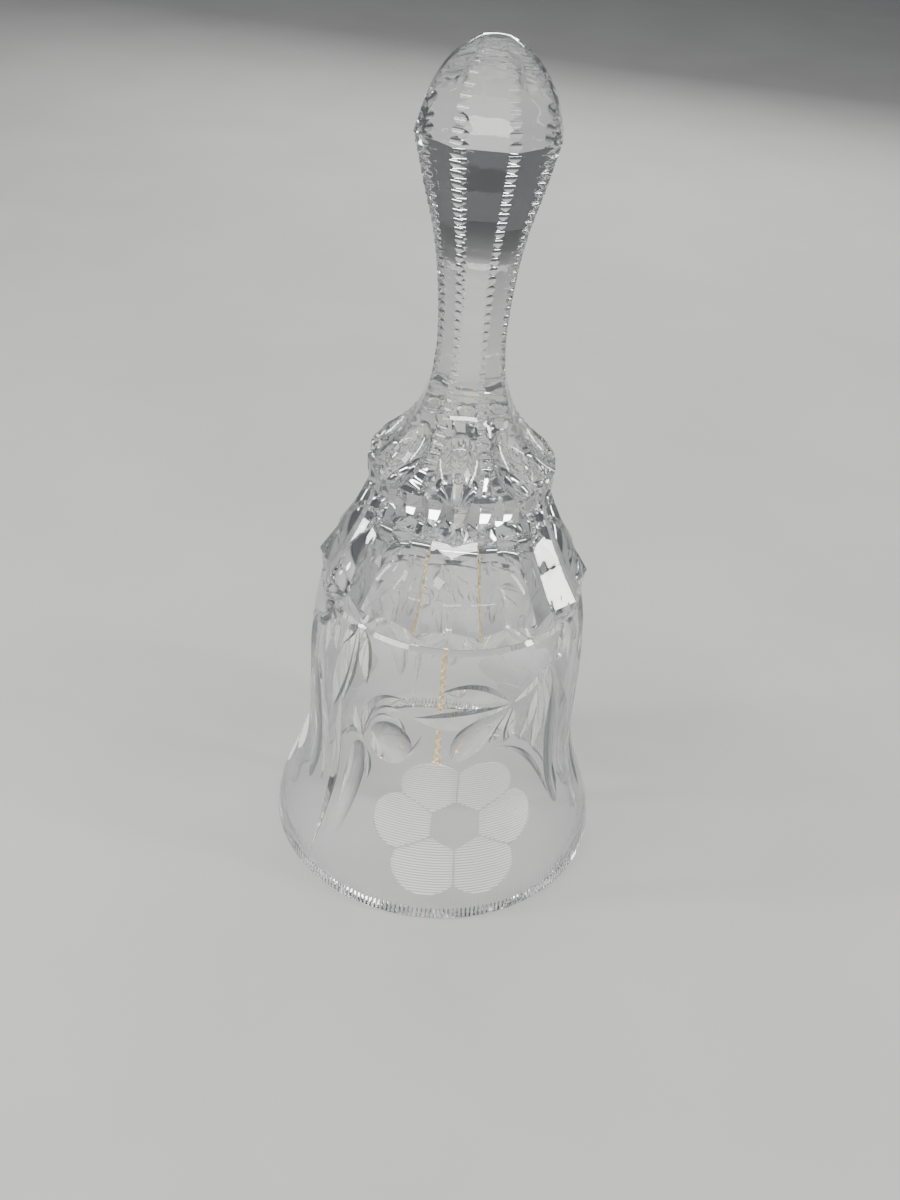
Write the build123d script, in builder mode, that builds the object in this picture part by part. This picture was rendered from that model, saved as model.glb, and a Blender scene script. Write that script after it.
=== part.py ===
"""Cut crystal hand bell with a fine chain and a hanging bead clapper.

The bell stands mouth down on its rim: the origin is the centre of the mouth, and +Z runs
up the handle. All sizes are in millimetres. Every link of the chain is its own piece.
"""

from build123d import *
from math import cos, radians, sin
import os

os.makedirs("parts", exist_ok=True)

# ---------------------------------------------------------------- driving dimensions
height = 200.0  # rim to the tip of the handle
rim_radius = 42.5
rim_band = 3.5  # upright edge of the rim
rim_draft = 0.2
flare_point = (36.6, 22.0)  # radius and height on the flared skirt
waist_radius = 34.1
waist_low = 38.0  # the waist is straight between these two heights
waist_high = 54.0
waist_shoulder = (33.3, 66.0)
groove = (31.6, 76.0)  # radius and height of the groove under the fluted band
wall = 3.0

flute_count = 14  # panels of the fluted band
flute_turn = 0.0  # angle of one flute ridge from +X
crown_sides = 24
handle_sides = 8
handle_turn = 20.5  # angle of one handle edge from +X

hollow_shoulder = (24.5, 88.0)  # radius and height on the domed roof of the hollow
roof_radius = 12.0
roof_z = 96.0
socket_radius = 2.2  # blind hole in the roof
socket_depth = 4.0

play = 0.05  # between two loops that hang in each other
eye_wire = 0.7  # wire of the hanger's eye
eye_radius = 1.6  # radii of eyes, rings and links are to the middle of the wire
eye_foot_z = 88.0  # middle of the wire at the bottom of the hanger's eye
ring_wire = 0.6
ring_radius = 1.5
link_wire = 0.6
link_radius = 0.85  # of the two round ends
link_straight = 0.45
link_count = 45
pin_wire = 0.6
pin_eye_radius = 1.2
pin_head = 0.4
cap_radius = 3.1  # outside, at the foot of the cap's skirt
cap_rim = 0.3
cap_seat = 1.55  # radius of the flat that the cap rests on
cap_shoulder = 2.5
cap_skirt = 0.9  # the skirt hangs this far down the bead
cap_crown = 0.4
bead_height = 9.2
bead_bore = 0.35
twist = 45.0  # the loops hang in two upright planes, at this angle and square to it

# radius of each polygon's corners at a height, from the groove up to the tip
flute_sections = [(76.0, 31.9), (80.8, 32.4), (84.0, 30.4), (87.0, 28.5), (91.0, 26.4),
                  (95.0, 24.3), (99.0, 22.4), (103.0, 20.8)]
crown_sections = [(102.5, 20.6), (104.0, 21.6), (109.2, 21.7), (110.6, 20.4)]
handle_sections = [(109.5, 21.4), (111.5, 19.9), (113.5, 17.7), (116.0, 15.2), (118.5, 13.2),
                   (121.5, 11.4), (124.5, 10.2), (128.5, 9.0), (133.0, 8.4), (139.0, 8.0),
                   (146.0, 8.3), (155.0, 9.2), (163.0, 10.6), (172.0, 13.1), (182.3, 15.7),
                   (185.0, 14.9), (188.0, 13.9), (191.5, 12.2), (195.0, 9.7), (197.5, 7.0),
                   (199.2, 4.6), (height, 3.2)]
bead_sections = [(-0.5, 1.5), (-0.36, 3.3), (-0.15, 4.8), (0.15, 4.8), (0.36, 3.3), (0.5, 1.5)]

# ---------------------------------------------------------------- heights down the chain
ring_z = eye_foot_z + (eye_wire + ring_wire) / 2 + play - ring_radius
ring_foot_z = ring_z - ring_radius
link_reach = link_radius + link_straight / 2  # middle of a link to the middle of its end wire
link_pitch = 2 * link_reach - link_wire - play
first_link_z = ring_foot_z + (ring_wire + link_wire) / 2 + play - link_reach
chain_foot_z = first_link_z - (link_count - 1) * link_pitch - link_reach
clapper_ring_z = chain_foot_z + (link_wire + ring_wire) / 2 + play - ring_radius
clapper_ring_foot_z = clapper_ring_z - ring_radius
pin_eye_z = clapper_ring_foot_z + (ring_wire + pin_wire) / 2 + play - pin_eye_radius
cap_top_z = pin_eye_z - pin_eye_radius - pin_wire / 2
bead_top_z = cap_top_z - cap_crown
bead_z = bead_top_z - bead_height / 2


def save(piece, name):
    """Label a finished piece and write it as its own STEP file."""
    piece.part.label = name
    export_step(piece.part, f"parts/{name}.step")


def upright(z, turned):
    """Upright plane of a loop at height z: at the twist angle, or square to it if turned."""
    angle = radians(twist + 90 if turned else twist)
    return Plane(origin=(0, 0, z), x_dir=(cos(angle), sin(angle), 0),
                 z_dir=(sin(angle), -cos(angle), 0))


def polygon_stack(sections, sides, turn):
    """Sketch one regular polygon at each height and join them with flat faces."""
    layers = []
    for z, radius in sections:
        with BuildSketch(Plane.XY.offset(z)) as layer:
            RegularPolygon(radius, sides, rotation=turn)
        layers.append(layer.sketch)
    loft(layers, ruled=True)


def skirt_wall(inset):
    """Line of the skirt and waist from the rim up to the top of the waist, moved in by inset."""
    rim = Line((rim_radius - inset, 0), (rim_radius - rim_draft - inset, rim_band))
    flare = Spline(rim @ 1, (flare_point[0] - inset, flare_point[1]),
                   (waist_radius - inset, waist_low), tangents=[(-rim_draft, 1), (0, 1)])
    return Line(flare @ 1, (waist_radius - inset, waist_high))


def wire_ring(z, turned, radius, wire):
    """Closed ring of round wire in an upright plane."""
    with BuildPart(upright(z, turned)) as ring:
        Torus(radius, wire / 2)
    return ring


# ---------------------------------------------------------------- the crystal bell
def glass_bell():
    """Skirt, fluted band, crown, handle and knob, cut from one piece of crystal."""
    with BuildPart() as bell:
        with BuildSketch(Plane.XZ):
            with BuildLine():
                waist = skirt_wall(0)
                shoulder = ThreePointArc(waist @ 1, waist_shoulder, groove)
                Polyline(shoulder @ 1, (0, groove[1]), (0, 0), (rim_radius, 0))
            make_face()
        revolve(axis=Axis.Z)
        polygon_stack(flute_sections, flute_count, flute_turn)
        polygon_stack(crown_sections, crown_sides, flute_turn)
        polygon_stack(handle_sections, handle_sides, handle_turn)
        with BuildSketch(Plane.XZ):
            with BuildLine():
                waist = skirt_wall(wall)
                side = Line(waist @ 1, (groove[0] - wall, groove[1]))
                dome = ThreePointArc(side @ 1, hollow_shoulder, (roof_radius, roof_z))
                Polyline(dome @ 1, (0, roof_z), (0, 0), (rim_radius - wall, 0))
            make_face()
        revolve(axis=Axis.Z, mode=Mode.SUBTRACT)
        with BuildSketch(Plane.XY.offset(roof_z)):
            Circle(socket_radius)
        extrude(amount=socket_depth, mode=Mode.SUBTRACT)
    return bell


# ---------------------------------------------------------------- what holds the chain
def socket_cement():
    """Cement that fills the socket in the roof, round the hanger's stem."""
    with BuildPart() as cement:
        with BuildSketch(Plane.XY.offset(roof_z)):
            Circle(socket_radius)
            Circle(eye_wire / 2, mode=Mode.SUBTRACT)
        extrude(amount=socket_depth)
    return cement


def hanger_eye():
    """Wire eye whose stem stands in the cement of the socket."""
    eye_z = eye_foot_z + eye_radius
    with BuildPart(upright(eye_z, False)) as eye:
        Torus(eye_radius, eye_wire / 2)
        with BuildSketch(Plane.XY.offset(eye_z + eye_radius)):
            Circle(eye_wire / 2)
        extrude(amount=roof_z + socket_depth - eye_z - eye_radius)
    return eye


# ---------------------------------------------------------------- the chain
def chain_link(z, turned):
    """One long link: round wire bent into two half rings joined by two straight legs."""
    leg = link_straight / 2
    with BuildPart() as link:
        with BuildLine(upright(z, turned)) as wire:
            near = Line((link_radius, -leg), (link_radius, leg))
            head = ThreePointArc(near @ 1, (0, leg + link_radius), (-link_radius, leg))
            far = Line(head @ 1, (-link_radius, -leg))
            ThreePointArc(far @ 1, (0, -leg - link_radius), near @ 0)
        with BuildSketch(Plane(origin=wire.line @ 0, z_dir=wire.line % 0)):
            Circle(link_wire / 2)
        sweep(path=wire.line)
    return link


# ---------------------------------------------------------------- the clapper
def clapper_pin():
    """Eye pin: an eye on top, a stem through the bead and a flat head under it."""
    head_z = bead_top_z - bead_height
    with BuildPart(upright(pin_eye_z, False)) as pin:
        Torus(pin_eye_radius, pin_wire / 2)
        with BuildSketch(Plane.XY.offset(head_z)):
            Circle(pin_wire / 2)
        extrude(amount=pin_eye_z - pin_eye_radius - head_z)
        with BuildSketch(Plane.XY.offset(head_z - pin_head)):
            Circle(pin_wire)
        extrude(amount=pin_head)
    return pin


def clapper_cap():
    """Domed bead cap, hollowed underneath to sit on the bead's upper facets."""
    foot_z = bead_top_z - cap_skirt
    with BuildPart() as cap:
        with BuildSketch(Plane.XZ):
            with BuildLine():
                inside = Polyline((bead_bore, bead_top_z), (cap_seat, bead_top_z),
                                  (cap_radius - cap_rim, foot_z), (cap_radius, foot_z))
                dome = ThreePointArc(inside @ 1, (cap_shoulder, bead_top_z), (1.0, cap_top_z))
                Polyline(dome @ 1, (bead_bore, cap_top_z), inside @ 0)
            make_face()
        revolve(axis=Axis.Z)
    return cap


def clapper_bead():
    """Faceted crystal bead, bored for the pin."""
    with BuildPart() as bead:
        polygon_stack([(bead_z + share * bead_height, radius) for share, radius in bead_sections],
                      handle_sides, handle_turn)
        with Locations((0, 0, bead_z)):
            Hole(bead_bore)
    return bead


save(glass_bell(), "glass_bell")
save(socket_cement(), "socket_cement")
save(hanger_eye(), "hanger_eye")
save(wire_ring(ring_z, True, ring_radius, ring_wire), "top_ring")
for number in range(1, link_count + 1):
    link_z = first_link_z - (number - 1) * link_pitch
    save(chain_link(link_z, number % 2 == 0), f"chain_link_{number:02d}")
save(wire_ring(clapper_ring_z, True, ring_radius, ring_wire), "clapper_ring")
save(clapper_pin(), "clapper_pin")
save(clapper_cap(), "clapper_cap")
save(clapper_bead(), "clapper_bead")

print(f"link pitch {link_pitch:.3f}, chain foot {chain_foot_z:.3f}, bead centre {bead_z:.3f}")
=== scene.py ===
import math

import bmesh
import bpy
from mathutils import Matrix, Vector


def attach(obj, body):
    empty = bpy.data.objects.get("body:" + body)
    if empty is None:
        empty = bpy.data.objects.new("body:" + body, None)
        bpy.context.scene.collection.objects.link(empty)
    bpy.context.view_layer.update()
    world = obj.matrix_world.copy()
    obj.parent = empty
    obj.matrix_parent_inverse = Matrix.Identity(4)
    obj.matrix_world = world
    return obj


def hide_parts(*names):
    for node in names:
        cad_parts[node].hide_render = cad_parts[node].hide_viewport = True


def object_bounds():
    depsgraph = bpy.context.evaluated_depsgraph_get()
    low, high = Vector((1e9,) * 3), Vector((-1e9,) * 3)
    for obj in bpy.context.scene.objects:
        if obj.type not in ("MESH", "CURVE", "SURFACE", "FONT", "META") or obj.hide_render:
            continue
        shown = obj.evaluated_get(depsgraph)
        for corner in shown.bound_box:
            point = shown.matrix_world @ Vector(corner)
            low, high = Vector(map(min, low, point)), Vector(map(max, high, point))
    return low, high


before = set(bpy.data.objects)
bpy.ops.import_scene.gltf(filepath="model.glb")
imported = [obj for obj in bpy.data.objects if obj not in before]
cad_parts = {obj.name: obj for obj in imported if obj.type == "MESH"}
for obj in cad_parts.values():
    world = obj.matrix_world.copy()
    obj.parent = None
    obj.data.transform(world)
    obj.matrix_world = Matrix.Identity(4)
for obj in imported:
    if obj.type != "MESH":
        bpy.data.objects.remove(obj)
cad_low, cad_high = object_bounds()

MM = 0.001
TURN = 360.0

CLEAR, SATIN, CUT, FACETS = 0, 1, 2, 3  # the bell's material slots
CRYSTAL_IOR = 1.54

# ------------------------------------------------------------------ sizes, in millimetres
# Lines drawn up the bell are (height, radius); azimuth 0 faces -Y and grows towards +X.
SKIRT = [(0.0, 42.5), (3.5, 42.25), (12.5, 39.6), (22.0, 36.5), (31.0, 34.5), (38.0, 34.1),
         (54.0, 34.1), (66.0, 33.3), (76.5, 31.5)]
HOLLOW = [(-1.0, 39.4), (3.5, 39.2), (12.5, 36.6), (22.0, 33.5), (31.0, 31.5), (38.0, 31.1),
          (54.0, 31.1), (66.0, 30.3), (76.0, 28.3), (84.0, 25.6), (90.0, 21.8), (94.0, 16.8),
          (96.0, 10.5)]
BAND = [(80.8, 32.4), (84.0, 30.4), (87.0, 28.5), (91.0, 26.4), (95.0, 24.3), (99.0, 22.4),
        (104.5, 20.2)]
HANDLE = [(106.0, 20.4), (109.5, 21.3), (111.5, 19.9), (113.5, 17.7), (116.0, 15.2), (118.5, 13.2),
          (121.5, 11.4), (124.5, 10.2), (128.5, 9.0), (133.0, 8.4), (139.0, 8.0), (146.0, 8.3),
          (155.0, 9.2), (163.0, 10.6), (172.0, 13.1), (182.3, 15.7)]
KNOB = [(182.3, 15.7), (185.0, 14.9), (188.0, 13.9), (191.5, 12.1), (195.0, 9.5), (197.5, 6.7),
        (199.0, 4.5), (199.7, 2.9)]
TIP_Z = 200.0
CROWN_LOW, CROWN_TOP, CROWN_RADIUS = 104.0, 110.2, 21.65

FLUTES = 14
FLUTE_AZ = 90.0  # azimuth of one ridge between flutes
FLUTE_DEPTH = 2.25  # of a valley under the ridges, at the foot of the band
FLUTE_FADE = 1.0  # how much shallower the flutes get
FLUTE_FADE_HEIGHT = 20.0  # over this height
CROWN_POINTS = 24
POINT_DEPTH = 3.6  # of the V cuts between the crown's points, at their foot
HANDLE_SIDES = 8
HANDLE_AZ = 20.5  # azimuth of one edge of the handle
EDGE_NOTCH = 2.1  # spacing of the notches along the handle's edges
EDGE_NOTCHES_FROM = 114.0  # height of the lowest ones
NOTCH_DEPTH = 0.12  # of a notch on a handle without thickness
NOTCH_GROWTH = 0.030  # added for each millimetre of the handle's radius
EDGE_BLUNT = 0.03  # from a corner to where its face starts, where there is no notch
OLIVE_HALF_AXES = (5.9, 9.4, 5.0)  # of the balls that cut the shoulder's olives: level, up, in
OLIVE_CENTRE = (16.2, 113.0)  # radius and height on the shoulder
OLIVE_LIFT = 3.2  # from there out to the middle of the ball
SOCKET_RADIUS = 2.2  # of the blind hole for the hanger
SOCKET_HEIGHTS = (94.0, 100.0)
RIM_NOTCHES = 240
RIM_NOTCH_TOP = 4.4
FLOWER_AZ = (9.5, 129.5, 249.5)
FLOWER_Z = 26.0
FLOWER_RADIUS = 36.0  # of the skirt at the flower
FLOWER_HALF = 24.0  # more than the flower reaches from its middle
GROOVE_DEPTH = 0.75  # of the V groove under the fluted band
POINTED_DEPTH = 0.31  # of a pointed leaf, over its width
ROUND_DEPTH = 0.17  # of a round-bottomed leaf, over its width
DEEPEST_CUT = 1.7
PROUD = 0.8  # how far a cutting tool stands out of the glass
PETALS = 6
PETAL_DEPTHS = (0.28, 0.2)  # by turns, so that neighbours meet in a step
PETAL_LINE = 0.72  # spacing of the wheel lines across a petal
PETAL_LINE_DEPTH = 0.16
PETAL_REACH = 12.8  # middle of the flower to the middle of a petal's round end
PETAL_ROUND = 8.2  # radius of that end
FLOWER_HEART = 6.1  # middle of the flower to the flat sides of its clear centre
PETAL_SQUASH = 0.97  # height of the flower over its width
PETAL_GAP = 0.35  # clear strip between neighbouring petals


def smooth_line(stations):
    """Radius as a smooth function of height through the stations (monotone cubic)."""
    xs = [s[0] for s in stations]
    ys = [s[1] for s in stations]
    steps = [(ys[i + 1] - ys[i]) / (xs[i + 1] - xs[i]) for i in range(len(xs) - 1)]
    slopes = [steps[0]]
    for before, after in zip(steps, steps[1:]):
        slopes.append(0.0 if before * after <= 0 else 2 * before * after / (before + after))
    slopes.append(steps[-1])

    def radius(x):
        i = max(0, min(len(xs) - 2, sum(1 for v in xs[1:-1] if v <= x)))
        h = xs[i + 1] - xs[i]
        t = max(0.0, min(1.0, (x - xs[i]) / h))
        a, b = ys[i], ys[i + 1]
        return (a * (1 + 2 * t) * (1 - t) ** 2 + slopes[i] * h * t * (1 - t) ** 2
                + b * t * t * (3 - 2 * t) + slopes[i + 1] * h * t * t * (t - 1))

    return radius


skirt_radius = smooth_line(SKIRT)
hollow_radius = smooth_line(HOLLOW)
band_radius = smooth_line(BAND)
handle_radius = smooth_line(HANDLE)
knob_radius = smooth_line(KNOB)


def on_ring(radius, azimuth, z):
    """Point at a radius, azimuth and height, in metres."""
    a = math.radians(azimuth)
    return Vector((radius * math.sin(a), -radius * math.cos(a), z)) * MM


def span(low, high, count):
    """count + 1 evenly spaced numbers from low to high."""
    return [low + (high - low) * i / count for i in range(count + 1)]


# ------------------------------------------------------------------ meshes
def mesh_object(name, points, faces, slot=CLEAR):
    """Object in the scene whose faces all look outwards and share one material slot."""
    mesh = bpy.data.meshes.new(name)
    mesh.from_pydata(points, [], faces)
    mesh.update()
    bm = bmesh.new()
    bm.from_mesh(mesh)
    bmesh.ops.recalc_face_normals(bm, faces=bm.faces)
    bm.to_mesh(mesh)
    bm.free()
    for polygon in mesh.polygons:
        polygon.material_index = slot
    piece = bpy.data.objects.new(name, mesh)
    bpy.context.scene.collection.objects.link(piece)
    return piece


def closed_stack(name, rings, slot=CLEAR):
    """Closed solid through rings of equal length, capped with a flat face at each end."""
    count = len(rings[0])
    points = [p for ring in rings for p in ring]
    faces = []
    for j in range(len(rings) - 1):
        for i in range(count):
            k = (i + 1) % count
            faces.append((j * count + i, j * count + k, (j + 1) * count + k, (j + 1) * count + i))
    faces.append(tuple(range(count))[::-1])
    faces.append(tuple((len(rings) - 1) * count + i for i in range(count)))
    return mesh_object(name, points, faces, slot)


def joined(solids):
    """One mesh object from several that don't touch."""
    points, faces, slots = [], [], []
    for solid in solids:
        start = len(points)
        points += [v.co.copy() for v in solid.data.vertices]
        faces += [tuple(start + i for i in p.vertices) for p in solid.data.polygons]
        slots += [p.material_index for p in solid.data.polygons]
        discard(solid)
    mesh = bpy.data.meshes.new("joined")
    mesh.from_pydata(points, [], faces)
    for polygon, slot in zip(mesh.polygons, slots):
        polygon.material_index = slot
    piece = bpy.data.objects.new("joined", mesh)
    bpy.context.scene.collection.objects.link(piece)
    return piece


def discard(piece):
    """Removes an object and its mesh."""
    mesh = piece.data
    bpy.data.objects.remove(piece)
    bpy.data.meshes.remove(mesh)


def combine(body, tool, operation):
    """Adds the tool to the body or cuts it away, and discards the tool."""
    modifier = body.modifiers.new("combine", "BOOLEAN")
    modifier.object = tool
    modifier.operation = operation
    modifier.solver = "MANIFOLD"
    result = bpy.data.meshes.new_from_object(body.evaluated_get(bpy.context.evaluated_depsgraph_get()))
    body.modifiers.clear()
    old = body.data
    body.data = result
    bpy.data.meshes.remove(old)
    discard(tool)


# ------------------------------------------------------------------ the glass before cutting
def fluted(azimuth, z):
    """Radius of the fluted band: V-shaped flutes with flat sides, which meet in sharp ridges."""
    up = min(1.0, (z - BAND[0][0]) / FLUTE_FADE_HEIGHT)
    half = TURN / FLUTES / 2
    off = abs((azimuth - FLUTE_AZ + half) % (2 * half) - half)  # 0 on a ridge, half in a valley
    ridge = band_radius(z)
    valley = ridge - FLUTE_DEPTH + FLUTE_FADE * up
    a, whole = math.radians(off), math.radians(half)
    return ridge * valley * math.sin(whole) / (ridge * math.sin(a) + valley * math.sin(whole - a))


def skirt_blank():
    """Skirt and waist, round, with the fluted band above the groove."""
    count = FLUTES * 24
    azimuths = [FLUTE_AZ + TURN * i / count for i in range(count)]
    rings = [[on_ring(SKIRT[0][1] - 0.4, a, 0.0) for a in azimuths]]
    for z in [0.4, 1.5, 3.5] + span(5.5, 74.5, 46) + [75.4]:
        rings.append([on_ring(skirt_radius(z), a, z) for a in azimuths])
    low_z, low_radius = SKIRT[-1]
    rings.append([on_ring(low_radius - GROOVE_DEPTH, a, low_z - 0.2) for a in azimuths])
    rings.append([on_ring(low_radius, a, low_z + 0.6) for a in azimuths])
    for share in (0.35, 0.7, 0.97):
        z = low_z + (BAND[0][0] - low_z) * share
        rings.append([on_ring(low_radius + (fluted(a, BAND[0][0]) - low_radius) * share, a, z)
                      for a in azimuths])
    for z in span(BAND[0][0], BAND[-1][0], 14):
        rings.append([on_ring(fluted(a, z), a, z) for a in azimuths])
    blank = closed_stack("crystal_bell", rings)
    for polygon in blank.data.polygons:
        if polygon.center.z > BAND[0][0] * MM:
            polygon.material_index = FACETS
    return blank


def crown_ring():
    """Round ring that the crown is cut from."""
    azimuths = [TURN * i / 240 for i in range(240)]
    outline = [(CROWN_LOW - 1.5, 18.0), (CROWN_LOW, CROWN_RADIUS - 0.2),
               (CROWN_TOP - 0.9, CROWN_RADIUS), (CROWN_TOP, CROWN_RADIUS - 1.0)]
    return closed_stack("crown", [[on_ring(r, a, z) for a in azimuths] for z, r in outline], FACETS)


def walk(stations, radius, step):
    """Points (height, radius) along a smooth line, evenly spaced by its length."""
    fine = [(z, radius(z)) for z in span(stations[0][0], stations[-1][0], 1500)]
    lengths = [0.0]
    for before, after in zip(fine, fine[1:]):
        lengths.append(lengths[-1] + math.dist(before, after))
    count = max(1, round(lengths[-1] / step))
    points, at = [], 0
    for wanted in span(0.0, lengths[-1], count):
        while at < len(fine) - 1 and lengths[at] < wanted - 1e-6:
            at += 1
        points.append(fine[at])
    return points


def handle_blank():
    """Eight-sided handle and knob whose edges carry a row of round notches."""
    cuts = 10
    side = TURN / HANDLE_SIDES
    low = walk(HANDLE, handle_radius, EDGE_NOTCH / cuts)
    high = walk(KNOB, knob_radius, EDGE_NOTCH / cuts)
    lead = cuts - (len(low) - 1) % cuts  # brings a crest between notches onto the girdle
    rings = []
    for i, (z, radius) in enumerate(low + high[1:]):
        phase = ((i + lead) % cuts) / cuts
        scoop = 1 - (2 * phase - 1) ** 2 if z > EDGE_NOTCHES_FROM else 0.0
        depth = (NOTCH_DEPTH + NOTCH_GROWTH * radius) * scoop
        reach = max(EDGE_BLUNT, depth / math.cos(math.radians((180 - side) / 2)))
        ring = []
        for k in range(HANDLE_SIDES):
            here = on_ring(radius, HANDLE_AZ + k * side, z)
            there = on_ring(radius, HANDLE_AZ + (k + 1) * side, z)
            inward = (there - here).normalized() * reach * MM
            ring += [(here + inward).lerp(there - inward, share) for share in span(0, 1, 4)]
        rings.append(ring)
    rings.append([Vector((p.x * 0.3, p.y * 0.3, TIP_Z * MM)) for p in rings[-1]])
    return closed_stack("handle", rings, FACETS)


def hollow_tool():
    """Inside of the bell, from under the rim to the roof."""
    azimuths = [TURN * i / 144 for i in range(144)]
    heights = [-1.0, 0.0, 0.5, 1.5, 3.5] + span(6.0, 74.0, 34) + span(76.0, 90.0, 7)
    heights += [91.5, 93.0, 94.0, 95.0, 95.6, 96.0]
    return closed_stack("hollow", [[on_ring(hollow_radius(z), a, z) for a in azimuths] for z in heights])


def socket_tool():
    """Blind hole in the roof, which the cement fills."""
    azimuths = [TURN * i / 32 for i in range(32)]
    rings = [[on_ring(SOCKET_RADIUS, a, z) for a in azimuths] for z in SOCKET_HEIGHTS]
    return closed_stack("socket", rings)


# ------------------------------------------------------------------ cutting wheels
def skin(azimuth, z):
    """Point and outward normal on the outside of the skirt, in millimetres."""
    a = math.radians(azimuth)
    r = skirt_radius(z)
    slope = (skirt_radius(z + 0.2) - skirt_radius(z - 0.2)) / 0.4
    point = Vector((r * math.sin(a), -r * math.cos(a), z))
    normal = Vector((math.sin(a), -math.cos(a), -slope)).normalized()
    return point, normal


def bezier(points, t):
    """Point on the curve that three (azimuth, height) points draw."""
    (a0, z0), (a1, z1), (a2, z2) = points
    return (a0 * (1 - t) ** 2 + 2 * a1 * t * (1 - t) + a2 * t * t,
            z0 * (1 - t) ** 2 + 2 * z1 * t * (1 - t) + z2 * t * t)


def wheel_cut(line, width, hollow, peak=0.5, steps=16):
    """Cutter for one leaf: the rim of a wheel, pointed or round, sunk deepest at the peak."""
    if hollow:
        deepest = ROUND_DEPTH * width
        curve = deepest / (width / 2) ** 2
        reach = math.sqrt((deepest + PROUD) / curve)
        rim = [(reach * x, curve * (reach * x) ** 2) for x in span(-1, 1, 12)]
    else:
        deepest = min(DEEPEST_CUT, POINTED_DEPTH * width)
        reach = (deepest + PROUD) * width / (2 * deepest)
        rim = [(-reach, deepest + PROUD), (0.0, 0.0), (reach, deepest + PROUD)]
    lean = math.log(0.5) / math.log(peak)  # moves the deepest place from the middle to the peak
    rings = []
    for t in span(0, 1, steps):
        depth = (deepest + 0.05) * math.sin(math.pi * t ** lean) - 0.05
        point, normal = skin(*bezier(line, t))
        ahead = skin(*bezier(line, min(1, t + 0.02)))[0] - skin(*bezier(line, max(0, t - 0.02)))[0]
        across = normal.cross(ahead.normalized())
        rings.append([(point + across * x + normal * (y - depth)) * MM for x, y in rim])
    return closed_stack("leaf", rings, CUT)


def ball_cut(azimuth, z, size, ball):
    """Cutter for a round hollow of the given size, ground with a ball."""
    point, normal = skin(azimuth, z)
    bulge = (size / 2) ** 2 / 90  # of the round wall under the hollow, about
    sink = (size / 2) ** 2 / (2 * ball) + bulge
    return ellipsoid((point + normal * (ball - sink)) * MM, Matrix.Identity(3) * ball * MM, CUT)


def ellipsoid(middle, axes, slot):
    """Closed ellipsoid; the columns of axes are its three half axes."""
    mesh = bpy.data.meshes.new("ellipsoid")
    bm = bmesh.new()
    bmesh.ops.create_uvsphere(bm, u_segments=64, v_segments=40, radius=1.0)
    for v in bm.verts:
        v.co = middle + axes @ v.co
    bmesh.ops.recalc_face_normals(bm, faces=bm.faces)
    bm.to_mesh(mesh)
    bm.free()
    for polygon in mesh.polygons:
        polygon.material_index = slot
    piece = bpy.data.objects.new("ellipsoid", mesh)
    bpy.context.scene.collection.objects.link(piece)
    return piece


def petal_tool(flower, direction, base):
    """Cutter for one petal: a shallow bed crossed by level wheel lines, outlined by an arch."""
    b = math.radians(direction)
    centre = (PETAL_REACH * math.cos(b), PETAL_REACH * math.sin(b))
    walls = [(math.cos(b), math.sin(b), FLOWER_HEART)]
    for turn in (-30, 30):
        edge = math.radians(direction + turn + (90 if turn < 0 else -90))
        walls.append((math.cos(edge), math.sin(edge), PETAL_GAP / 2))

    def reach_across(v):
        """Where the level line at height v enters and leaves the petal."""
        inside = PETAL_ROUND ** 2 - (v - centre[1]) ** 2
        if inside <= 0:
            return None
        low, high = centre[0] - math.sqrt(inside), centre[0] + math.sqrt(inside)
        for a, c, level in walls:
            bound = level - c * v
            if abs(a) < 1e-6:
                if bound > 0:
                    return None
            elif a > 0:
                low = max(low, bound / a)
            else:
                high = min(high, bound / a)
        return (low, high) if high - low > 0.12 else None

    rings = []
    start = -int(FLOWER_HALF / (PETAL_LINE / 2))
    for j in range(start, -start + 1):
        v = j * PETAL_LINE / 2
        ends = reach_across(v)
        if not ends:
            continue
        depth = base if j % 2 else base + PETAL_LINE_DEPTH
        across = []
        for share in span(0, 1, 10):
            u = ends[0] + (ends[1] - ends[0]) * share
            azimuth = flower + math.degrees(u / FLOWER_RADIUS)
            across.append(skin(azimuth, FLOWER_Z + PETAL_SQUASH * v))
        ring = [(p - n * depth) * MM for p, n in across]
        ring += [(p + n * PROUD) * MM for p, n in reversed(across)]
        rings.append(ring)
    return closed_stack("petal", rings, SATIN)


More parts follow.
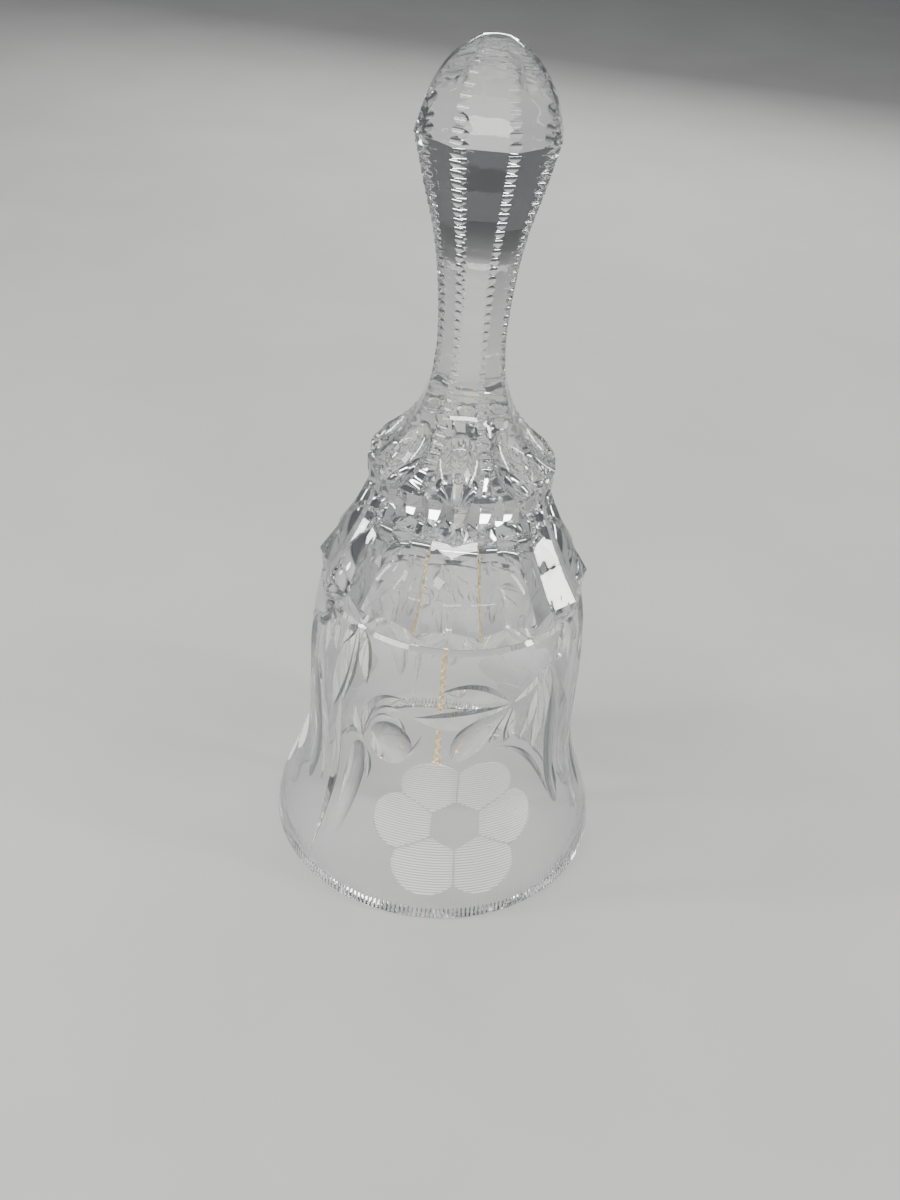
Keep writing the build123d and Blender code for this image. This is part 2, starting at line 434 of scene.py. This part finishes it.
# Leaves between one flower and the next: where each starts, bends and ends, as an azimuth from
# the flower and a height; its width; whether the wheel was round; and where it is deepest.
LEAVES = [
    # low node beside the flower: leaves that sweep back over it
    ((19.5, 61.5), (4.5, 68.0), (-11.0, 65.5), 5.0, False, 0.5),
    ((19.5, 61.5), (-1.5, 57.0), (-20.5, 58.0), 6.0, False, 0.5),
    ((19.5, 61.0), (5.0, 57.0), (-2.5, 45.5), 8.4, True, 0.62),
    ((19.5, 61.0), (16.5, 56.0), (10.5, 50.0), 2.6, False, 0.6),
    ((20.0, 61.0), (20.5, 56.0), (17.5, 49.5), 3.0, False, 0.6),
    ((19.5, 61.5), (28.0, 64.0), (37.5, 68.5), 2.2, False, 0.5),
    # middle node: blades that fan down towards the rim
    ((37.5, 68.5), (33.5, 62.0), (24.0, 49.0), 3.8, False, 0.55),
    ((37.5, 68.5), (35.5, 58.0), (31.5, 44.5), 4.6, False, 0.55),
    ((37.5, 68.5), (41.0, 57.0), (38.5, 43.0), 4.4, False, 0.5),
    ((37.5, 68.0), (46.0, 48.0), (49.0, 21.0), 7.4, True, 0.55),
    ((45.0, 62.0), (55.0, 46.0), (57.0, 24.0), 5.2, False, 0.5),
    ((37.5, 68.5), (50.0, 67.0), (53.0, 77.5), 2.2, False, 0.5),
    # two nodes in the groove under the fluted band
    ((53.0, 77.5), (49.0, 76.0), (43.5, 70.0), 3.0, False, 0.5),
    ((53.0, 77.5), (54.5, 71.0), (52.0, 62.5), 3.8, False, 0.5),
    ((53.0, 77.5), (58.0, 73.0), (60.0, 66.0), 3.2, False, 0.5),
    ((70.5, 77.5), (71.0, 68.0), (67.0, 54.0), 4.4, False, 0.5),
    ((70.5, 77.5), (67.0, 65.0), (60.0, 49.0), 5.6, False, 0.55),
    ((70.5, 77.5), (67.5, 74.0), (63.0, 69.0), 2.8, False, 0.5),
    ((70.5, 77.5), (76.0, 73.0), (79.0, 62.5), 4.8, False, 0.5),
    # far node: a long leaf and a small one below, a curled plume above
    ((78.5, 45.5), (73.0, 34.0), (72.0, 14.5), 6.0, True, 0.38),
    ((78.5, 45.5), (81.5, 41.0), (81.5, 34.0), 3.0, False, 0.5),
    ((78.5, 45.5), (75.5, 50.0), (73.5, 56.5), 2.8, False, 0.5),
    ((78.5, 45.5), (79.0, 63.0), (98.0, 62.0), 3.2, False, 0.5),
    ((79.5, 48.0), (82.0, 60.0), (96.5, 59.0), 2.6, False, 0.5),
    ((80.5, 50.0), (84.0, 57.5), (93.5, 56.0), 2.2, False, 0.5),
    ((78.5, 45.5), (73.0, 51.0), (69.0, 43.5), 1.8, False, 0.5),
    # stems and tendrils
    ((66.5, 57.0), (62.5, 34.0), (64.0, 5.0), 3.0, False, 0.45),
    ((99.5, 61.0), (89.5, 63.0), (91.5, 57.0), 1.3, False, 0.5),
    ((91.5, 57.5), (97.5, 55.5), (97.0, 48.0), 1.3, False, 0.5),
    ((91.5, 42.8), (100.0, 44.5), (104.5, 54.0), 1.3, False, 0.5),
    ((10.5, 49.0), (31.0, 51.0), (48.5, 20.0), 1.5, False, 0.5),
]
# Round hollows: azimuth from the flower, height, size and the radius of the ball.
ROUNDS = [(91.0, 48.6, 11.6, 12.0), (97.0, 47.6, 1.9, 2.2)]


def leaf_cutters(leaf):
    """The same leaf once for each flower."""
    *points, width, hollow, peak = leaf
    return [wheel_cut([(flower + a, z) for a, z in points], width, hollow, peak) for flower in FLOWER_AZ]


def rim_notches():
    """A ring of small upright wedges that notch the outside of the rim."""
    tools = []
    step = TURN / RIM_NOTCHES
    for i in range(RIM_NOTCHES):
        a = (i + 0.5) * step
        rings = []
        for z, out, depth in ((-0.6, 0.5, 0.55), (3.2, 0.5, 0.5), (RIM_NOTCH_TOP, 0.6, -0.3)):
            r = skirt_radius(max(z, 0.0))
            rings.append([on_ring(r + out, a - step * 0.46, z), on_ring(r - depth, a, z),
                          on_ring(r + out, a + step * 0.46, z)])
        tools.append(closed_stack("notch", rings))
    return joined(tools)


def crown_points():
    """V cuts that leave a row of points hanging from the crown."""
    tools = []
    half = TURN / CROWN_POINTS / 2
    for i in range(CROWN_POINTS):
        a = (i + 0.5) * 2 * half
        rings = []
        for z, depth in ((CROWN_LOW - 2.0, POINT_DEPTH), (CROWN_TOP + 0.2, -0.2)):
            rings.append([on_ring(CROWN_RADIUS + 0.9, a - half * 0.97, z),
                          on_ring(CROWN_RADIUS - depth, a, z),
                          on_ring(CROWN_RADIUS + 0.9, a + half * 0.97, z)])
        tools.append(closed_stack("point", rings, FACETS))
    return joined(tools)


def shoulder_olives():
    """An oval hollow on each face of the shoulder, just over the crown's corner."""
    tools = []
    side = TURN / HANDLE_SIDES
    wide, tall, deep = OLIVE_HALF_AXES
    for k in range(HANDLE_SIDES):
        a = math.radians(HANDLE_AZ + (k + 0.5) * side)
        outward = Vector((math.sin(a), -math.cos(a), 0))
        level = Vector((math.cos(a), math.sin(a), 0))
        normal = (outward + Vector((0, 0, 1.0))).normalized()
        up = normal.cross(level)
        middle = outward * OLIVE_CENTRE[0] + Vector((0, 0, OLIVE_CENTRE[1])) + normal * OLIVE_LIFT
        axes = Matrix((level * wide, up * tall, normal * deep)).transposed()
        tools.append(ellipsoid(middle * MM, axes * MM, FACETS))
    return joined(tools)


# ------------------------------------------------------------------ materials
def material(name):
    """Empty node material, with its nodes and links."""
    made = bpy.data.materials.new(name)
    made.use_nodes = True
    made.node_tree.nodes.clear()
    return made, made.node_tree.nodes, made.node_tree.links


def noise(nodes, links, scale, detail=4.0, stretch=1.0):
    """Noise in the object's own space, drawn out along the height by the stretch."""
    place = nodes.new("ShaderNodeTexCoord")
    drawn = nodes.new("ShaderNodeMapping")
    drawn.inputs["Scale"].default_value = (1.0, 1.0, 1.0 / stretch)
    texture = nodes.new("ShaderNodeTexNoise")
    texture.inputs["Scale"].default_value = scale
    texture.inputs["Detail"].default_value = detail
    links.new(place.outputs["Object"], drawn.inputs["Vector"])
    links.new(drawn.outputs["Vector"], texture.inputs["Vector"])
    return texture


def ramp(nodes, links, source, low, high, from_low=0.35, from_high=0.65):
    """Goes from low to high as the source goes through its own range, by default a noise's."""
    scaled = nodes.new("ShaderNodeMapRange")
    scaled.inputs["From Min"].default_value = from_low
    scaled.inputs["From Max"].default_value = from_high
    scaled.inputs["To Min"].default_value = low
    scaled.inputs["To Max"].default_value = high
    links.new(source, scaled.inputs["Value"])
    return scaled.outputs["Result"]


def blend(nodes, links, factor, first, second):
    """Colour that goes from the first to the second as the factor goes from 0 to 1."""
    colour = nodes.new("ShaderNodeMixRGB")
    colour.inputs["Color1"].default_value = first
    colour.inputs["Color2"].default_value = second
    links.new(factor, colour.inputs["Fac"])
    return colour.outputs["Color"]


def bumps(nodes, links, texture, shader, strength, distance):
    """Gives the shader the fine relief of a noise texture."""
    bump = nodes.new("ShaderNodeBump")
    bump.inputs["Strength"].default_value = strength
    bump.inputs["Distance"].default_value = distance
    links.new(texture.outputs["Fac"], bump.inputs["Height"])
    links.new(bump.outputs["Normal"], shader.inputs["Normal"])


def facing(nodes):
    """0 where the surface faces the eye, 1 where it is seen edge on."""
    slant = nodes.new("ShaderNodeLayerWeight")
    slant.inputs["Blend"].default_value = 0.5
    return slant.outputs["Facing"]


def clear_through(nodes, links, shader, tint):
    """Lets light straight through to what lies behind, so that the glass casts a soft, pale shadow."""
    path = nodes.new("ShaderNodeLightPath")
    passing = nodes.new("ShaderNodeMath")
    passing.operation = "MAXIMUM"
    links.new(path.outputs["Is Shadow Ray"], passing.inputs[0])
    links.new(path.outputs["Is Diffuse Ray"], passing.inputs[1])
    clear = nodes.new("ShaderNodeBsdfTransparent")
    clear.inputs["Color"].default_value = tint
    mix = nodes.new("ShaderNodeMixShader")
    out = nodes.new("ShaderNodeOutputMaterial")
    links.new(passing.outputs["Value"], mix.inputs["Fac"])
    links.new(shader, mix.inputs[1])
    links.new(clear.outputs["BSDF"], mix.inputs[2])
    links.new(mix.outputs["Shader"], out.inputs["Surface"])


# edge is the colour of painted shade, laid where the glass turns from the eye
def crystal(name, tint=(0.99, 0.995, 0.992, 1), edge=(0.30, 0.32, 0.33, 1), painted_shade_slants=(0.22, 0.85),
            wave_scale=55.0, streaks=1.0):
    """Polished glass with painted shade: the base colour goes from the tint to the edge colour where the
    surface turns from the eye; streaks draw its waves out upwards.
    """
    made, nodes, links = material(name)
    shader = nodes.new("ShaderNodeBsdfPrincipled")
    shader.inputs["IOR"].default_value = CRYSTAL_IOR
    shader.inputs["Transmission Weight"].default_value = 1.0
    # painted shade: the base colour darkens from the tint to the edge colour as the surface turns from
    # the eye
    painted_shade_mask = ramp(nodes, links, facing(nodes), 0.0, 1.0, *painted_shade_slants)
    links.new(blend(nodes, links, painted_shade_mask, tint, edge), shader.inputs["Base Color"])
    smears = noise(nodes, links, 90.0, 6.0)
    links.new(ramp(nodes, links, smears.outputs["Fac"], 0.0, 0.045), shader.inputs["Roughness"])
    bumps(nodes, links, noise(nodes, links, wave_scale, 1.0, streaks), shader, 0.12, 0.0006)
    clear_through(nodes, links, shader.outputs["BSDF"], (0.9, 0.91, 0.91, 1))
    return made


def wheel_lines(nodes, links):
    """0 between the petals' wheel lines and 1 on them, from the height over the flower's middle."""
    place = nodes.new("ShaderNodeTexCoord")
    split = nodes.new("ShaderNodeSeparateXYZ")
    links.new(place.outputs["Object"], split.inputs["Vector"])
    height = nodes.new("ShaderNodeMath")
    height.operation = "SUBTRACT"
    height.inputs[1].default_value = FLOWER_Z * MM
    links.new(split.outputs["Z"], height.inputs[0])
    line = nodes.new("ShaderNodeMath")
    line.operation = "PINGPONG"
    line.inputs[1].default_value = PETAL_LINE * PETAL_SQUASH / 2 * MM
    links.new(height.outputs["Value"], line.inputs[0])
    return ramp(nodes, links, line.outputs["Value"], 0.0, 1.0,
                0.06 * PETAL_LINE * MM, 0.42 * PETAL_LINE * MM)


def frosted(name):
    """Satin wheel-cut glass: whitish and half clear, less clear along the wheel's level lines, and
    painted brighter on them and grey between them as light and shade of the grooves.
    """
    made, nodes, links = material(name)
    shader = nodes.new("ShaderNodeBsdfPrincipled")
    shader.inputs["IOR"].default_value = CRYSTAL_IOR
    lines = wheel_lines(nodes, links)
    # the stripes sit on the real wheel lines; their white and the grey between them are painted light
    # and shade of the grooves' sides
    wheel_lines_and_painted_shading = blend(nodes, links, lines, (0.50, 0.50, 0.49, 1), (0.98, 0.98, 0.97, 1))
    links.new(wheel_lines_and_painted_shading, shader.inputs["Base Color"])
    links.new(ramp(nodes, links, lines, 0.72, 0.30, 0.0, 1.0), shader.inputs["Transmission Weight"])
    grain = noise(nodes, links, 2600.0, 3.0)
    links.new(ramp(nodes, links, grain.outputs["Fac"], 0.30, 0.5), shader.inputs["Roughness"])
    bumps(nodes, links, grain, shader, 0.35, 0.00008)
    clear_through(nodes, links, shader.outputs["BSDF"], (0.62, 0.62, 0.61, 1))
    return made


def wheel_cut_glass(name):
    """Polished cuts: a little haze from the wheel, and painted shade that darkens the base colour on the
    flanks that turn from the eye.
    """
    made, nodes, links = material(name)
    shader = nodes.new("ShaderNodeBsdfPrincipled")
    shader.inputs["IOR"].default_value = CRYSTAL_IOR
    painted_shade_mask = ramp(nodes, links, facing(nodes), 0.0, 1.0, 0.14, 0.58)
    # painted shade: the base colour goes to near black on flanks seen edge on
    painted_flank_shade = blend(nodes, links, painted_shade_mask, (1.0, 1.0, 0.99, 1), (0.09, 0.10, 0.11, 1))
    links.new(painted_flank_shade, shader.inputs["Base Color"])
    patches = noise(nodes, links, 260.0, 3.0)
    haze = ramp(nodes, links, patches.outputs["Fac"], 0.94, 0.82)
    links.new(haze, shader.inputs["Transmission Weight"])
    grain = noise(nodes, links, 1400.0, 4.0)
    links.new(ramp(nodes, links, grain.outputs["Fac"], 0.02, 0.10), shader.inputs["Roughness"])
    clear_through(nodes, links, shader.outputs["BSDF"], (0.8, 0.81, 0.81, 1))
    return made


def gold(name, light, dark, rough_low, rough_high):
    """Polished gold with darker patches and fine scratches."""
    made, nodes, links = material(name)
    shader = nodes.new("ShaderNodeBsdfPrincipled")
    shader.inputs["Metallic"].default_value = 1.0
    patches = noise(nodes, links, 700.0, 5.0)
    tarnish = ramp(nodes, links, patches.outputs["Fac"], 0.0, 1.0, 0.45, 0.75)
    links.new(blend(nodes, links, tarnish, light, dark), shader.inputs["Base Color"])
    scratches = noise(nodes, links, 4200.0, 2.0)
    roughness = ramp(nodes, links, scratches.outputs["Fac"], rough_low, rough_high)
    links.new(roughness, shader.inputs["Roughness"])
    bumps(nodes, links, scratches, shader, 0.2, 0.00003)
    out = nodes.new("ShaderNodeOutputMaterial")
    links.new(shader.outputs["BSDF"], out.inputs["Surface"])
    return made


def matte(name, light, dark, scale, roughness):
    """Dull surface that goes between two close colours."""
    made, nodes, links = material(name)
    shader = nodes.new("ShaderNodeBsdfPrincipled")
    shader.inputs["Roughness"].default_value = roughness
    grain = noise(nodes, links, scale, 6.0)
    shade = ramp(nodes, links, grain.outputs["Fac"], 0.0, 1.0)
    links.new(blend(nodes, links, shade, light, dark), shader.inputs["Base Color"])
    bumps(nodes, links, grain, shader, 0.3, 0.0001)
    out = nodes.new("ShaderNodeOutputMaterial")
    links.new(shader.outputs["BSDF"], out.inputs["Surface"])
    return made


# ------------------------------------------------------------------ the bell
def cut_bell():
    """The whole glass: added pieces first, then the cuts from the outside, then the hollow."""
    bell = skirt_blank()
    bell.data.materials.append(crystal("crystal_clear"))
    bell.data.materials.append(frosted("crystal_frosted"))
    bell.data.materials.append(wheel_cut_glass("crystal_cut"))
    # the edge colour and slants here set painted shade, darkening the facets' flanks as they turn from
    # the eye
    bell.data.materials.append(crystal("crystal_facets", edge=(0.24, 0.25, 0.26, 1),
                                       painted_shade_slants=(0.03, 0.55), wave_scale=260.0, streaks=7.0))
    combine(bell, crown_ring(), "UNION")
    combine(bell, crown_points(), "DIFFERENCE")
    combine(bell, handle_blank(), "UNION")
    combine(bell, shoulder_olives(), "DIFFERENCE")
    for leaf in LEAVES:
        combine(bell, joined(leaf_cutters(leaf)), "DIFFERENCE")
    for azimuth, z, size, ball in ROUNDS:
        combine(bell, joined([ball_cut(flower + azimuth, z, size, ball) for flower in FLOWER_AZ]),
                "DIFFERENCE")
    for k in range(PETALS):
        direction = TURN * k / PETALS
        petals = [petal_tool(flower, direction, PETAL_DEPTHS[k % 2]) for flower in FLOWER_AZ]
        combine(bell, joined(petals), "DIFFERENCE")
    combine(bell, rim_notches(), "DIFFERENCE")
    combine(bell, hollow_tool(), "DIFFERENCE")
    combine(bell, socket_tool(), "DIFFERENCE")
    while bell.data.materials[-1] is None:  # an empty slot that the cutters bring in
        bell.data.materials.pop()
    for polygon in bell.data.polygons:
        polygon.use_smooth = True
    bell.data.set_sharp_from_angle(angle=math.radians(14))
    return bell


def dress(node, made):
    """Gives a CAD node a material."""
    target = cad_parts[node]
    target.data.materials.clear()
    target.data.materials.append(made)


def floor():
    """Plain pale floor that the rim stands on."""
    mesh = bpy.data.meshes.new("floor")
    half = 5.0
    mesh.from_pydata([(-half, -half, 0), (half, -half, 0), (half, half, 0), (-half, half, 0)], [],
                     [(0, 1, 2, 3)])
    plane = bpy.data.objects.new("floor", mesh)
    plane.location.z = cad_low.z - 0.0001
    bpy.context.scene.collection.objects.link(plane)
    mesh.materials.append(matte("floor_pale", (0.50, 0.50, 0.49, 1), (0.47, 0.47, 0.46, 1), 14.0, 0.7))


def lamp(name, place, aim, size, power, tint=(1, 1, 1)):
    """Soft box at a place, turned to its aim."""
    data = bpy.data.lights.new(name, "AREA")
    data.shape = "RECTANGLE"
    data.size, data.size_y = size
    data.energy = power
    data.color = tint
    light = bpy.data.objects.new(name, data)
    light.location = place
    light.rotation_euler = (Vector(aim) - Vector(place)).to_track_quat("-Z", "Y").to_euler()
    bpy.context.scene.collection.objects.link(light)


def studio():
    """Soft boxes and long strips, whose edges draw the facets, in a dim grey room."""
    middle = (0, 0, 0.08)
    lamp("key", (-0.50, -0.35, 0.70), middle, (0.34, 0.24), 4.4, (1.0, 0.985, 0.96))
    lamp("overhead", (0.0, 0.15, 1.00), middle, (1.50, 1.50), 3.6)
    lamp("front_strip", (0.05, -0.95, 0.30), middle, (0.90, 0.045), 4.5, (1.0, 0.99, 0.98))
    lamp("left_strip", (-0.60, -0.10, 0.34), middle, (0.06, 0.42), 4.0, (0.98, 0.99, 1.0))
    lamp("right_strip", (0.55, -0.12, 0.34), middle, (0.05, 0.42), 3.2, (1.0, 0.98, 0.95))
    lamp("back_strip", (0.15, 0.75, 0.34), middle, (0.80, 0.06), 3.5)
    world = bpy.data.worlds.new("studio")
    world.use_nodes = True
    world.node_tree.nodes["Background"].inputs["Color"].default_value = (0.30, 0.31, 0.33, 1)
    world.node_tree.nodes["Background"].inputs["Strength"].default_value = 0.45
    bpy.context.scene.world = world
    bpy.context.scene.cycles.use_denoising = True
    bpy.context.scene.cycles.max_bounces = 24  # light turns many times between the facets
    bpy.context.scene.cycles.glossy_bounces = 12
    bpy.context.scene.cycles.transmission_bounces = 24
    bpy.context.scene.cycles.transparent_max_bounces = 24


def camera():
    """Camera at the photo's viewing angle, a little rolled as the photo is."""
    data = bpy.data.cameras.new("camera")
    data.sensor_fit = "VERTICAL"
    data.sensor_height = 36.0
    data.lens = 39.0
    data.clip_start = 0.01
    view = bpy.data.objects.new("camera", data)
    down, roll = math.radians(35.4), math.radians(4.82)
    place = Matrix.Translation((0.0, -0.26216, 0.25465))
    turn = Matrix.Rotation(math.pi / 2 - down, 4, "X") @ Matrix.Rotation(roll, 4, "Z")
    view.matrix_world = place @ turn
    bpy.context.scene.collection.objects.link(view)
    bpy.context.scene.camera = view


camera()
studio()
floor()

bell = cut_bell()
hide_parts("glass_bell")
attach(bell, "bell")

chain_gold = gold("chain_gold", (0.99, 0.87, 0.63, 1), (0.80, 0.63, 0.38, 1), 0.10, 0.24)
wire_gold = gold("wire_gold", (0.98, 0.84, 0.58, 1), (0.77, 0.60, 0.34, 1), 0.14, 0.28)
cap_gold = gold("cap_gold", (0.88, 0.66, 0.31, 1), (0.62, 0.42, 0.18, 1), 0.22, 0.4)
bead_glass = crystal("bead_crystal", (0.97, 0.975, 0.97, 1))
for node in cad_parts:
    if node.startswith("chain_link"):
        dress(node, chain_gold)
for node in ("hanger_eye", "top_ring", "clapper_ring", "clapper_pin"):
    dress(node, wire_gold)
dress("clapper_cap", cap_gold)
dress("clapper_bead", bead_glass)
dress("socket_cement", matte("cement", (0.78, 0.77, 0.73, 1), (0.62, 0.60, 0.56, 1), 900.0, 0.8))
